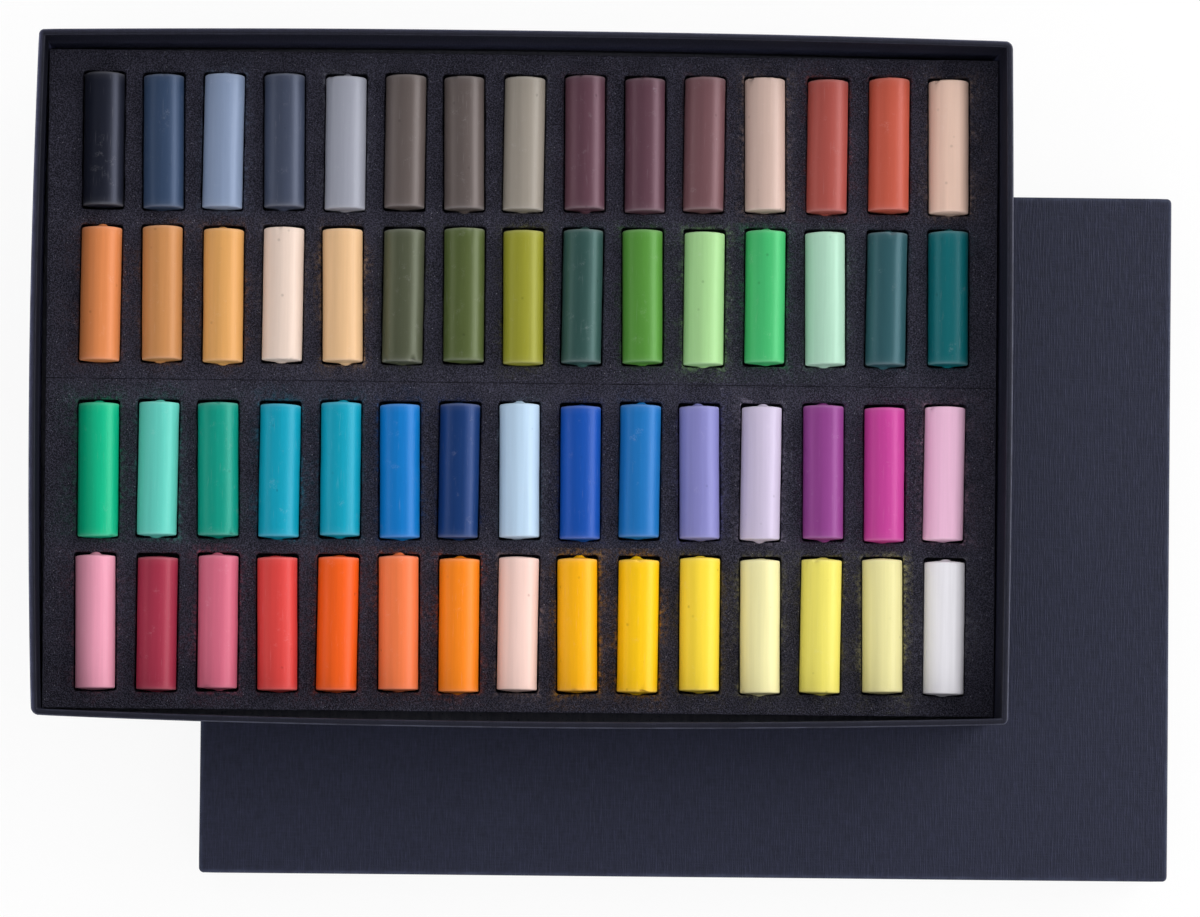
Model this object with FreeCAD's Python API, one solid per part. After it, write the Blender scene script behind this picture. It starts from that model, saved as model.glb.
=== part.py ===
"""Set of half-length soft pastels in a papered tray that stands on its own lid.

Two set-up boxes of greyboard, each with paper stays on its corners and one sheet of paper
wrapped round it and turned in over the rim. The lid lies with its open side down and the tray
stands on it, moved towards the back left. In the tray a foam sheet carries two slotted foam
pads, and every slot holds one stick. Millimetres, +X to the right, +Y to the back, +Z up.
The origin is under the middle of the whole set, on the surface that the lid lies on.
"""

import FreeCAD, Part
import math
import os

# --- sticks ---------------------------------------------------------------------------------
STICK_DIA = 10.5
STICK_L = 34.8          # without the nubs
STICK_L_SPREAD = 0.15   # a stick is longer or shorter by up to this
STICK_EDGE_R = 0.7      # rounded edge of each end
STICK_CROWN = 0.35      # each end is domed by this much
NUB_R = 1.8             # pip left by the mould, in the middle of each end
NUB_H = 0.4
SEAT_GAP = 0.3          # under a stick
NUDGE_X = 0.2           # a stick lies off its slot's middle by up to this
NUDGE_Y = 0.28
SETTLE_Y = 0.3          # all sticks have slid this far towards the front
LEAN = 0.6              # and is turned by up to this, in degrees
GOLDEN = math.radians(137.508)   # step that spreads these over the sticks

# --- foam -----------------------------------------------------------------------------------
SIDE_ROOM = 0.6         # slot beside a stick that lies in its middle
END_ROOM = 1.35         # slot beyond the end of a stick that lies in its middle
SLOT_CORNER_R = 1.3
SLOT_COLUMNS = 15
RIB = 3.87              # foam between neighbouring slots of a row
RAIL = 1.9              # foam between the two slot rows of a pad
MARGIN_LEFT = 8.2       # foam outside the first slot of a row
MARGIN_RIGHT = 6.82     # foam outside the last one
MARGIN_SEAM = 3.725     # foam between a pad's slots and the other pad
MARGIN_WALL = 4.1       # foam between a pad's slots and the tray's long wall
SLOT_DRIFT = 0.8        # the slots of a row run out of even steps by up to this, to the left
SLOT_SET = {            # each pad's slots as cut: shift along X, climb from left to right
    "foam_pad_back": (0.0, 1.1),
    "foam_pad_front": (-0.45, 1.05),
}
PAD_T = 6.5             # slotted pads, from which a stick stands out by almost half
FOAM_BASE_T = 6.0       # plain sheet under the pads
FOAM_FIT = 0.2          # room at the side walls and the front wall
SEAM_GAP = 0.05         # between the pads
SLACK_BACK = 1.5        # room left over at the back wall

# --- box halves -----------------------------------------------------------------------------
BOARD_T = 1.1           # greyboard
PAPER_T = 0.3           # wrapping paper with its glue
CORNER_R = 2.0          # upright outside corners, over the paper
TRAY_BOW = (2.1, 0.6, 1.2, 1.5)   # the front, right, back and left wall stand out this much
RIM_RISE = 11.1         # the tray's rim above the foam
LID_SHORT = 3.0         # the lid is this much lower than the tray
SLIP = 0.4              # room between the shut lid and the tray, on each side
TUCK = 7.9              # the tray's turned-in paper goes this far down behind the foam
LID_TURN_IN = 15.0      # paper turned in over the lid's rim
STAY_T = 0.15           # gummed paper strip that holds a board corner
STAY_LEG = 12.0         # how far a stay reaches along each wall
TRAY_SHIFT_X = -44.1    # the tray's middle, seen from the lid's middle
TRAY_SHIFT_Y = 38.5
STRAIGHT = (0.0, 0.0, 0.0, 0.0)   # the lid's walls, and foam

# Tints from left to right, back row first. Neighbours of one tint share a node.
TINTS = (
    ("blue_black", "indigo", "fog_blue", "slate_blue", "warm_grey", "umber", "umber", "khaki",
     "maroon", "maroon", "mauve_brown", "beige", "iron_red", "iron_red", "pale_peach"),
    ("salmon", "ochre", "ochre", "cream", "light_ochre", "olive", "olive", "yellow_olive",
     "grey_green", "grass_green", "spring_green", "leaf_green", "pale_mint", "viridian", "viridian"),
    ("bright_green", "mint", "sea_green", "turquoise", "turquoise", "azure", "prussian_blue",
     "sky_blue", "ultramarine", "cobalt", "lavender", "lilac", "purple", "magenta", "pink"),
    ("blush", "carmine", "rose", "coral", "orange_red", "orange", "orange", "apricot",
     "deep_yellow", "deep_yellow", "yellow", "naples_yellow", "lemon", "lime_yellow", "white"),
)

# --- worked out from the sizes above --------------------------------------------------------
WALL_T = BOARD_T + 2 * PAPER_T
FLOOR_T = BOARD_T + PAPER_T
SLOT_W = STICK_DIA + 2 * SIDE_ROOM
SLOT_L = STICK_L + 2 * END_ROOM
PITCH_X = SLOT_W + RIB
PITCH_Y = SLOT_L + RAIL
PAD_W = MARGIN_LEFT + (SLOT_COLUMNS - 1) * PITCH_X + SLOT_W + MARGIN_RIGHT
PAD_D = MARGIN_WALL + PITCH_Y + SLOT_L + MARGIN_SEAM
TRAY_W = PAD_W + 2 * FOAM_FIT + 2 * WALL_T
TRAY_D = FOAM_FIT + 2 * PAD_D + SEAM_GAP + SLACK_BACK + 2 * WALL_T
TRAY_H = FLOOR_T + FOAM_BASE_T + PAD_T + RIM_RISE
TRAY_TURN_IN = RIM_RISE + TUCK
LID_W = TRAY_W + 2 * (SLIP + WALL_T)
LID_D = TRAY_D + 2 * (SLIP + WALL_T)
LID_H = TRAY_H - LID_SHORT
PAD_LEFT = -TRAY_W / 2 + WALL_T + FOAM_FIT
PAD_X = PAD_LEFT + PAD_W / 2
FRONT_PAD_Y = -TRAY_D / 2 + WALL_T + FOAM_FIT + PAD_D / 2
BACK_PAD_Y = FRONT_PAD_Y + PAD_D + SEAM_GAP
PAD_Z = FLOOR_T + FOAM_BASE_T
STICK_Z = PAD_Z + SEAT_GAP + STICK_DIA / 2
FIRST_SLOT_X = PAD_LEFT + MARGIN_LEFT + SLOT_W / 2
BACK_ROW_Y = BACK_PAD_Y + PAD_D / 2 - MARGIN_WALL - SLOT_L / 2
FRONT_ROW_Y = FRONT_PAD_Y - PAD_D / 2 + MARGIN_WALL + SLOT_L / 2
PAD_ROWS = {
    "foam_pad_back": (BACK_PAD_Y, [BACK_ROW_Y, BACK_ROW_Y - PITCH_Y]),
    "foam_pad_front": (FRONT_PAD_Y, [FRONT_ROW_Y + PITCH_Y, FRONT_ROW_Y]),
}
FRONT = min(-LID_D / 2, TRAY_SHIFT_Y - TRAY_D / 2 - TRAY_BOW[0])
RIGHT = max(LID_W / 2, TRAY_SHIFT_X + TRAY_W / 2 + TRAY_BOW[1])
BACK = max(LID_D / 2, TRAY_SHIFT_Y + TRAY_D / 2 + TRAY_BOW[2])
LEFT = min(-LID_W / 2, TRAY_SHIFT_X - TRAY_W / 2 - TRAY_BOW[3])
LID_PLACE = FreeCAD.Vector(-(LEFT + RIGHT) / 2, -(FRONT + BACK) / 2, 0)
TRAY_PLACE = LID_PLACE + FreeCAD.Vector(TRAY_SHIFT_X, TRAY_SHIFT_Y, LID_H)


def block(width, depth, height, x=0.0, y=0.0, z=0.0, corner=0.0, bow=STRAIGHT):
    """Upright block centred on x and y that stands on z: its sides stand out by bow in their
    middle (front, right, back, left), and its upright edges are rounded."""
    right, back = width / 2, depth / 2
    corners = [(-right, -back), (right, -back), (right, back), (-right, back)]
    middles = [(0, -back - bow[0]), (right + bow[1], 0), (0, back + bow[2]), (-right - bow[3], 0)]
    points = [FreeCAD.Vector(x + px, y + py, z) for px, py in corners]
    if max(bow) > 0:
        sides = [Part.Arc(points[i], FreeCAD.Vector(x + mx, y + my, z), points[(i + 1) % 4]).toShape()
                 for i, (mx, my) in enumerate(middles)]
    else:
        sides = [Part.makeLine(points[i], points[(i + 1) % 4]) for i in range(4)]
    shape = Part.Face(Part.Wire(sides)).extrude(FreeCAD.Vector(0, 0, height))
    if corner > 0:
        upright = [e for e in shape.Edges if abs(e.tangentAt(e.FirstParameter).z) > 0.99]
        shape = shape.makeFillet(corner, upright)
    return shape


def corner_stays(width, depth, height, bow):
    """Four gummed strips, each bent round one upright corner of the board."""
    around = [width - 2 * PAPER_T, depth - 2 * PAPER_T]
    tall = height - 2 * PAPER_T
    outer = block(*around, tall, z=PAPER_T, corner=CORNER_R - PAPER_T, bow=bow)
    inner = block(*[side - 2 * STAY_T for side in around], tall, z=PAPER_T,
                  corner=CORNER_R - PAPER_T - STAY_T, bow=bow)
    skin = outer.cut(inner)
    stays = []
    for sx in (-1, 1):
        for sy in (-1, 1):
            reach = STAY_LEG + 2 * max(bow)
            post = block(reach, reach, tall, sx * (around[0] - STAY_LEG) / 2,
                         sy * (around[1] - STAY_LEG) / 2, PAPER_T)
            stays.append(skin.common(post).Solids[0])
    return Part.makeCompound(stays)


def board_shell(width, depth, height, bow):
    """Greyboard floor and four walls, open at the top, set back where the stays lie."""
    outer = block(width - 2 * PAPER_T, depth - 2 * PAPER_T, height - 2 * PAPER_T,
                  z=PAPER_T, corner=CORNER_R - PAPER_T, bow=bow)
    room = block(width - 2 * (PAPER_T + BOARD_T), depth - 2 * (PAPER_T + BOARD_T), height,
                 z=FLOOR_T, bow=bow)
    return outer.cut(room).cut(corner_stays(width, depth, height, bow))


def paper_wrap(width, depth, height, turn_in, bow):
    """One sheet under the floor, up the walls, over the rim and turn_in down the inside."""
    outer = block(width, depth, height, corner=CORNER_R, bow=bow)
    board = block(width - 2 * PAPER_T, depth - 2 * PAPER_T, height - 2 * PAPER_T,
                  z=PAPER_T, corner=CORNER_R - PAPER_T, bow=bow)
    inside = block(width - 2 * WALL_T, depth - 2 * WALL_T, height, z=PAPER_T, bow=bow)
    flap = block(width - 2 * (PAPER_T + BOARD_T), depth - 2 * (PAPER_T + BOARD_T), turn_in,
                 z=height - turn_in, bow=bow)
    return outer.cut(board).fuse(flap).cut(inside).removeSplitter()


def box_half(name, width, depth, height, turn_in, bow=STRAIGHT):
    """The three pieces of one set-up box, open side up, on the origin."""
    return {
        f"{name}_board": board_shell(width, depth, height, bow),
        f"{name}_corner_stays": corner_stays(width, depth, height, bow),
        f"{name}_wrap": paper_wrap(width, depth, height, turn_in, bow),
    }


def slot_middle(pad, row_y, column):
    """Middle of one slot, as the pad was cut: a little off even steps and off a straight row."""
    across = column / (SLOT_COLUMNS - 1)
    shift, climb = SLOT_SET[pad]
    drift = SLOT_DRIFT * math.sin(math.pi * across ** 1.7) ** 2
    return FIRST_SLOT_X + column * PITCH_X + shift - drift, row_y + climb * (across - 0.5)


def slotted_pad(pad, middle, rows):
    """Foam pad with a slot through it for each stick of its two rows."""
    middles = [slot_middle(pad, y, column) for y in rows for column in range(SLOT_COLUMNS)]
    slots = [block(SLOT_W, SLOT_L, PAD_T, x, y, PAD_Z, SLOT_CORNER_R) for x, y in middles]
    return block(PAD_W, PAD_D, PAD_T, PAD_X, middle, PAD_Z).cut(Part.makeCompound(slots))


def foam():
    """Plain foam sheet on the tray's floor, and the two slotted pads on it."""
    both_d = 2 * PAD_D + SEAM_GAP
    pieces = {"foam_base": block(PAD_W, both_d, FOAM_BASE_T, PAD_X, (FRONT_PAD_Y + BACK_PAD_Y) / 2, FLOOR_T)}
    for name, (middle, rows) in PAD_ROWS.items():
        pieces[name] = slotted_pad(name, middle, rows)
    return pieces


def stick(length):
    """Round stick along Y about the origin: domed ends, rounded edges and a pip on each end."""
    radius = STICK_DIA / 2
    end = length / 2
    flat = radius - STICK_EDGE_R
    shoulder = end - STICK_CROWN
    turn = STICK_EDGE_R * (1 - math.sqrt(0.5))
    half = [
        Part.makeLine(FreeCAD.Vector(0, 0, 0), FreeCAD.Vector(radius, 0, 0)),
        Part.makeLine(FreeCAD.Vector(radius, 0, 0), FreeCAD.Vector(radius, shoulder - STICK_EDGE_R, 0)),
        Part.Arc(FreeCAD.Vector(radius, shoulder - STICK_EDGE_R, 0),
                 FreeCAD.Vector(radius - turn, shoulder - turn, 0),
                 FreeCAD.Vector(flat, shoulder, 0)).toShape(),
        Part.makeLine(FreeCAD.Vector(flat, shoulder, 0), FreeCAD.Vector(NUB_R, end, 0)),
        Part.makeLine(FreeCAD.Vector(NUB_R, end, 0), FreeCAD.Vector(NUB_R / 2, end + NUB_H, 0)),
        Part.makeLine(FreeCAD.Vector(NUB_R / 2, end + NUB_H, 0), FreeCAD.Vector(0, end + NUB_H, 0)),
        Part.makeLine(FreeCAD.Vector(0, end + NUB_H, 0), FreeCAD.Vector(0, 0, 0)),
    ]
    upper = Part.Face(Part.Wire(half)).revolve(FreeCAD.Vector(0, 0, 0), FreeCAD.Vector(0, 1, 0), 360)
    lower = upper.mirror(FreeCAD.Vector(0, 0, 0), FreeCAD.Vector(0, 1, 0))
    return upper.fuse(lower).removeSplitter()


def laid_stick(number, x, y):
    """Stick in its slot, a little off the slot's middle, slid to the front and a little turned."""
    angle = number * GOLDEN
    shape = stick(STICK_L + STICK_L_SPREAD * math.sin(3 * angle))
    shape.rotate(FreeCAD.Vector(0, 0, 0), FreeCAD.Vector(0, 0, 1), LEAN * math.sin(angle))
    off_x, off_y = NUDGE_X * math.cos(2 * angle), NUDGE_Y * math.cos(angle) - SETTLE_Y
    shape.translate(FreeCAD.Vector(x + off_x, y + off_y, STICK_Z))
    return shape


def sticks():
    """Sixty sticks: one node for each, or for each pair of neighbours of one tint."""
    rows = [(pad, y) for pad, (_, pad_rows) in PAD_ROWS.items() for y in pad_rows]
    groups = {}
    for r, ((pad, y), tints) in enumerate(zip(rows, TINTS)):
        for c, tint in enumerate(tints):
            laid = laid_stick(r * SLOT_COLUMNS + c, *slot_middle(pad, y, c))
            groups.setdefault(f"stick_row{r + 1}_{tint}", []).append(laid.Solids[0])
    return {name: Part.makeCompound(solids) for name, solids in groups.items()}


def place(shape, where):
    """A copy of the shape, moved."""
    moved = shape.copy()
    moved.translate(where)
    return moved


def build():
    """Every node's shape, by name, in the set's own frame."""
    nodes = {}
    for name, shape in box_half("lid", LID_W, LID_D, LID_H, LID_TURN_IN).items():
        shape.rotate(FreeCAD.Vector(0, 0, LID_H / 2), FreeCAD.Vector(1, 0, 0), 180)
        nodes[name] = place(shape, LID_PLACE)
    tray = {
        **box_half("tray", TRAY_W, TRAY_D, TRAY_H, TRAY_TURN_IN, TRAY_BOW),
        **foam(),
        **sticks(),
    }
    for name, shape in tray.items():
        nodes[name] = place(shape, TRAY_PLACE)
    return nodes


os.makedirs("parts", exist_ok=True)
for node, shape in build().items():
    shape.exportStep(f"parts/{node}.step")
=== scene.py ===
import bmesh
import bpy
import math
import numpy as np
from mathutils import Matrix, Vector


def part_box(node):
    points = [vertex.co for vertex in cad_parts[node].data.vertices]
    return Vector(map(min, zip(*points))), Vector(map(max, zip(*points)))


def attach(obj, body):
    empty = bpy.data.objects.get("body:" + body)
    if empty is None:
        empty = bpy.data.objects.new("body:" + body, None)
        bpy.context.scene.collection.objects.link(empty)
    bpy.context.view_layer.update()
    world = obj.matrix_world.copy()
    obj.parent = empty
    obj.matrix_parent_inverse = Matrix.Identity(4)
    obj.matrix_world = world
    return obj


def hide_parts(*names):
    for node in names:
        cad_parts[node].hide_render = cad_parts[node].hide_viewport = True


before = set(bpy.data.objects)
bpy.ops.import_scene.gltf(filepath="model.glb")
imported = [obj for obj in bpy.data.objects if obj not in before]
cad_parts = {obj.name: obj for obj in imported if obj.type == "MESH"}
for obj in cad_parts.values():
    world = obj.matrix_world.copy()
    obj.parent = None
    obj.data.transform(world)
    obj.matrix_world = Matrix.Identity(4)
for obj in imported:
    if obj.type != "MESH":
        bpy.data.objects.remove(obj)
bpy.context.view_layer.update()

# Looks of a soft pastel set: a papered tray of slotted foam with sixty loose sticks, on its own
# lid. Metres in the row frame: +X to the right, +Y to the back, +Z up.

MM = 0.001

# --- sticks -----------------------------------------------
STICK_R = 5.25 * MM
STICK_L = 34.8 * MM
STICK_L_SPREAD = 0.15 * MM
STICK_EDGE_R = 0.42 * MM
STICK_CROWN = 0.4 * MM  # how far the dome of an end rises
NUB_R = 1.7 * MM
NUB_H = 0.7 * MM
NUB_SPREAD = (0.55, 0.4)  # share of that height: its mean and how far it strays
NUB_SLIP = 0.4 * MM  # how far a nub lies off the middle
END_TILT = 0.012  # radians
OUT_OF_ROUND = 0.05 * MM
SEAM_DEPTH = 0.04 * MM
SEAM_WIDTH = 0.07  # radians
CHIP_DEPTH = 1.1 * MM
CHIP_LENGTH = 0.8 * MM
NUDGE_X = 0.2 * MM  # a stick's place off its slot's middle
NUDGE_Y = 0.28 * MM
SETTLE_Y = 0.3 * MM  # all sticks have slid this far to the front
LEAN = math.radians(0.6)
GOLDEN = math.radians(137.508)  # spreads the lie of the sticks evenly
STICK_AROUND = 64
STICK_SEED = 40
CHIP_SEED = 900

# --- foam -------------------------------------------------
COLUMNS = 15
SLOT = np.array([11.7, 37.5]) * MM
RIB = 3.87 * MM  # between two slots of a row
RAIL = 1.9 * MM  # between the two rows of a pad
MARGIN_LEFT = 8.2 * MM
MARGIN_WALL = 4.1 * MM
SLOT_DRIFT = 0.8 * MM
# How far a pad's slots lie to the right, and how far they climb from the first to the last.
SLOT_SET = {"foam_pad_back": (0.0, 1.1 * MM), "foam_pad_front": (-0.45 * MM, 1.05 * MM)}
LIP_ROOM = np.array([0.2, 0.42]) * MM  # between a stick and the foam lip that hugs it
SLOT_CORNER_R = 0.8 * MM
LIP_R = 0.4 * MM
SLOT_WAIST = 0.12 * MM  # wider by this halfway down
# On a lip and down its slot the stick's colour is chalk dust and painted bounced light.
LIP_DUST_AND_BOUNCE = 1.6  # on a lip
FOAM_EDGE = 0.6 * MM  # width of the rolled edge round a pad
SHEET_CORNER_R = 0.8 * MM
SHEET_RINGS = 20  # on the top of the plain sheet
DUST_FALL = ((0.6, 0.4 * MM), (0.5, 3.0 * MM))  # dust beside a lip: share and reach
DUST_SPREAD = (0.1, 0.42)  # how dusty a stick's foam is, at least and at most
DUST_DIP = 0.1 * MM  # the foam sinks this much where it is dusty
PLAIN_DUST = 0.1  # grey level of dust away from the sticks

# --- unevenness, as pitch and depth, and seeds ------------
WALL_WAVES = (60 * MM, 0.04 * MM)
RIM_WAVES = (70 * MM, 0.06 * MM)
FOAM_SWELL = (16 * MM, 0.07 * MM)
FOAM_GRAIN = (3 * MM, 0.04 * MM)
SHEET_SWELL = (14 * MM, 0.05 * MM)
CUT_WAVES = (7 * MM, 0.03 * MM)  # along the cut edge of a pad
STICK_WAVES = (9 * MM, 0.03 * MM)
LIP_WAVES = (4 * MM, 0.1 * MM)  # in and out, along a slot's lip
CHIP_PITCH = 2.2 * MM
CHIP_WAVES = 9
CHIP_RARITY = 0.62  # the unevenness above which the rim is chipped
SEEDS = {"tray_wrap": 11, "lid_wrap": 21, "foam_pad_back": 31, "foam_pad_front": 37, "foam_base": 61}
CUT_SEED = 5

# --- box halves -------------------------------------------
TRAY_BOW = np.array([2.1, 0.6, 1.2, 1.5]) * MM  # front, right, back and left wall
WALL_T = 1.7 * MM
PAPER_T = 0.3 * MM
RIM_R = 0.6 * MM
FOLD_R = 0.6 * MM
TRAY_TURN_IN = 19.0 * MM
LID_TURN_IN = 15.0 * MM
CREASE = 0.05 * MM  # depth of the creases at the corners
# Corners run front left, front right, back right and back left.
TRAY_CORNERS = np.array([2.0, 1.5, 2.0, 1.4]) * MM
LID_CORNERS = np.array([1.4, 1.3, 1.3, 1.5]) * MM
# Painted light and shade on the front, right, back and left wall, as a factor on the paper's colour:
# a row each for the outside, the rim's two edges and four depths below the rim inside. The outside is
# left as it is. The rim's outer edge is painted shade at the front and a painted highlight at the
# back and left; the rim's inner edge and the upper inner wall are painted shade; the deepest rows
# paint light into the shadowed gap below the foam.
TRAY_PAINTED_TONES = np.array([
    (1.0, 1.0, 1.0, 1.0),
    (0.65, 0.95, 1.5, 2.8),
    (0.8, 0.75, 0.55, 0.35),
    (0.8, 0.75, 0.6, 0.45),
    (0.8, 0.75, 0.75, 0.35),
    (1.2, 1.6, 1.7, 1.1),
    (8.0, 12.0, 10.0, 16.0),
])
RIM_KNOTS = np.array([0.0, 0.2, 0.8, 1.0]) * WALL_T
PAINTED_TONE_DEPTHS = np.array([0.0, 8.0, 12.0, 17.0]) * MM

# --- pigments and tints -----------------------------------
# A tint is a pigment let down with shares of chalk and sometimes of black.
PIGMENTS = {
    "carbon": (24, 27, 40), "payne_grey": (52, 60, 80), "indigo": (30, 50, 80), "smalt": (80, 104, 142),
    "prussian": (12, 48, 104), "ultramarine": (8, 72, 166), "cobalt": (10, 104, 180),
    "azure": (0, 114, 192), "turquoise": (0, 153, 181), "teal": (0, 145, 125),
    "emerald": (20, 180, 155), "phthalo_green": (0, 178, 130), "viridian": (0, 96, 103),
    "slate_green": (36, 78, 86), "green_earth": (34, 67, 63), "leaf": (50, 175, 96),
    "cadmium_green": (120, 190, 90), "sap": (70, 132, 42), "olive": (64, 78, 30),
    "grey_olive": (65, 70, 50), "green_gold": (140, 140, 36), "umber": (78, 68, 65),
    "raw_umber": (85, 74, 54), "burnt_umber": (85, 45, 50), "caput": (80, 48, 60),
    "iron_oxide": (160, 70, 62), "red_earth": (188, 82, 62), "burnt_sienna": (150, 95, 65),
    "orange_ochre": (215, 128, 72), "brown_ochre": (192, 130, 75), "ochre": (215, 155, 85),
    "gold_yellow": (250, 178, 4), "indian_yellow": (250, 197, 8), "cadmium_yellow": (249, 214, 50),
    "lemon": (236, 222, 80), "orange": (245, 131, 18), "coral_orange": (237, 114, 60),
    "scarlet": (237, 90, 18), "vermilion": (212, 60, 56), "carmine": (155, 40, 64),
    "madder": (200, 85, 112), "geranium": (220, 95, 130), "quinacridone": (236, 100, 170),
    "magenta": (192, 58, 146), "violet": (134, 54, 130), "mauve": (140, 115, 170),
    "cobalt_violet": (110, 110, 180),
}
CHALK = (238, 236, 242)
BLACK = (24, 24, 30)
TINTS = {
    "blue_black": ("carbon", 0.02), "indigo": ("indigo", 0.09), "fog_blue": ("smalt", 0.3),
    "slate_blue": ("payne_grey", 0.05), "warm_grey": ("payne_grey", 0.52), "umber": ("umber", 0.09),
    "khaki": ("raw_umber", 0.39), "maroon": ("caput", 0.06), "mauve_brown": ("burnt_umber", 0.16),
    "beige": ("burnt_sienna", 0.54), "iron_red": ("iron_oxide", 0.04),
    "pale_peach": ("orange_ochre", 0.62), "salmon": ("orange_ochre", 0.03),
    "ochre": ("brown_ochre", 0.03), "cream": ("brown_ochre", 0.68), "light_ochre": ("ochre", 0.33),
    "olive": ("grey_olive", 0.06), "yellow_olive": ("green_gold", 0.04),
    "grey_green": ("green_earth", 0.06), "grass_green": ("sap", 0.06),
    "spring_green": ("cadmium_green", 0.33), "leaf_green": ("leaf", 0.08),
    "pale_mint": ("leaf", 0.64, 0.02), "viridian": ("slate_green", 0.04),
    "bright_green": ("phthalo_green", 0.01), "mint": ("emerald", 0.34), "sea_green": ("teal", 0.01),
    "turquoise": ("turquoise", 0.01), "azure": ("azure", 0.01), "prussian_blue": ("prussian", 0.02),
    "sky_blue": ("azure", 0.76), "ultramarine": ("ultramarine", 0.02), "cobalt": ("cobalt", 0.06),
    "lavender": ("cobalt_violet", 0.15), "lilac": ("mauve", 0.6), "purple": ("violet", 0.04),
    "magenta": ("magenta", 0.03), "pink": ("quinacridone", 0.64), "blush": ("geranium", 0.4),
    "carmine": ("carmine", 0.03), "rose": ("madder", 0.1), "coral": ("vermilion", 0.03),
    "orange_red": ("scarlet", 0.01), "orange": ("coral_orange", 0.05),
    "apricot": ("coral_orange", 0.73), "deep_yellow": ("gold_yellow", 0.01),
    "yellow": ("cadmium_yellow", 0.05), "naples_yellow": ("lemon", 0.56), "lemon": ("lemon", 0.16),
    "lime_yellow": ("lemon", 0.5, 0.02), "white": ("carbon", 0.99),
}
# The right stick of a pair of neighbours is from another batch.
SECOND_BATCH = {
    "iron_red": ("red_earth", 0.03), "ochre": ("ochre", 0.04), "olive": ("olive", 0.08),
    "viridian": ("viridian", 0.02), "orange": ("orange", 0.01), "deep_yellow": ("indian_yellow", 0.01),
}
# The sticks lie in the order of the tints, row by row from the back left, and these lie in pairs.
PAIRS = ("umber", "maroon", "iron_red", "ochre", "olive", "viridian", "turquoise", "orange",
         "deep_yellow")
ORDER = [tint for tint in TINTS for _ in range(1 + (tint in PAIRS))]
ROWS = [ORDER[start:start + COLUMNS] for start in range(0, len(ORDER), COLUMNS)]


def linear(colour):
    """A screen colour of 0 to 255 as linear light of 0 to 1."""
    c = np.asarray(colour, float) / 255
    return np.where(c <= 0.04045, c / 12.92, ((c + 0.055) / 1.055) ** 2.4)


def tint_colour(pigment, chalk, black=0.0):
    """The pigment's colour, let down with those shares of chalk and black."""
    parts = np.array([PIGMENTS[pigment], CHALK, BLACK], float)
    return linear(np.array([1 - chalk - black, chalk, black]) @ parts)


# --- surfaces ---------------------------------------------
def ripple(points, pitch, seed, waves=7):
    """Smooth unevenness of -1 to 1: the mean of sine waves that run over the points in
    directions and phases drawn from the seed, each one pitch long or up to twice that."""
    rng = np.random.default_rng(seed)
    points = np.asarray(points, float)
    ways = rng.normal(size=(waves, points.shape[-1]))
    ways /= np.linalg.norm(ways, axis=1, keepdims=True)
    turns = 2 * math.pi / (pitch * rng.uniform(1, 2, waves))
    phases = rng.uniform(0, 2 * math.pi, waves)
    return np.sin((points @ ways.T) * turns + phases).mean(-1) * 1.6


def dent(points, waves, seed):
    """Unevenness that only sinks, by up to about twice the depth of the waves."""
    pitch, depth = waves
    return (ripple(points, pitch, seed) - 1) * depth


def box(node):
    """The two corners of a CAD node's box."""
    return (np.array(corner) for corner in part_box(node))


def raised(ring, z):
    """A flat ring at that height."""
    return np.column_stack([ring, np.full(len(ring), z)])


def turned(flat, angle):
    """Flat points turned about the origin."""
    along, aside = math.cos(angle), math.sin(angle)
    return flat @ np.array([[along, aside], [-aside, along]])


def compass(angle):
    """The unit direction at an angle."""
    return np.stack([np.cos(angle), np.sin(angle)], -1)


def rounded_ring(width, depth, corners, steps, bend):
    """Points and outward directions round a rounded rectangle about the origin, anticlockwise from
    the middle of the front left corner. A side is half a corner of bend parts, a straight run of
    steps parts and half a corner again."""
    signs = np.array([[-1, -1], [1, -1], [1, 1], [-1, 1]], float)
    corners = np.broadcast_to(corners, 4)
    middles = signs * (np.array([width, depth]) / 2 - corners[:, None])
    arc = np.linspace(0, math.pi / 4, bend, endpoint=False)
    points, normals = [], []
    for side in range(4):
        after = (side + 1) % 4
        square = math.radians(270 + 90 * side)
        first, out, last = (compass(square + turn) for turn in (arc - math.pi / 4, 0.0, arc))
        run = np.linspace(0, 1, steps[side % 2], endpoint=False)[:, None]
        leave = middles[side] + corners[side] * out
        reach = middles[after] + corners[after] * out
        points += [middles[side] + corners[side] * first, leave + (reach - leave) * run,
                   middles[after] + corners[after] * last]
        normals += [first, np.broadcast_to(out, (len(run), 2)), last]
    return np.concatenate(points), np.concatenate(normals)


def stack_faces(rings, around):
    """Quads between the neighbouring rings of a stack, each of around points."""
    low = np.arange(rings - 1)[:, None] * around
    here = np.arange(around)[None, :]
    after = (here + 1) % around
    return np.stack([low + here, low + after, low + around + after, low + around + here], -1).reshape(-1, 4)


def closed_stack(rings):
    """Points and faces of a stack of rings, (rings, around, 3), shut by a fan at each end. The
    quads come first, ring by ring, then both fans."""
    count, around, _ = rings.shape
    points = np.concatenate([rings.reshape(-1, 3), [rings[0].mean(0), rings[-1].mean(0)]])
    here = np.arange(around)
    after = (here + 1) % around
    top = (count - 1) * around
    first = np.stack([after, here, np.full(around, count * around)], 1)
    last = np.stack([top + here, top + after, np.full(around, count * around + 1)], 1)
    return points, [stack_faces(count, around), first, last]


def put(name, data):
    """An object of that mesh, lamp or lens, in the scene."""
    thing = bpy.data.objects.new(name, data)
    bpy.context.scene.collection.objects.link(thing)
    return thing


def put_mesh(name, points, faces, material):
    """An object of a smooth mesh."""
    mesh = bpy.data.meshes.new(name)
    mesh.from_pydata(points.tolist(), [], faces)
    mesh.shade_smooth()
    mesh.materials.append(material)
    return put(name, mesh)


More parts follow.
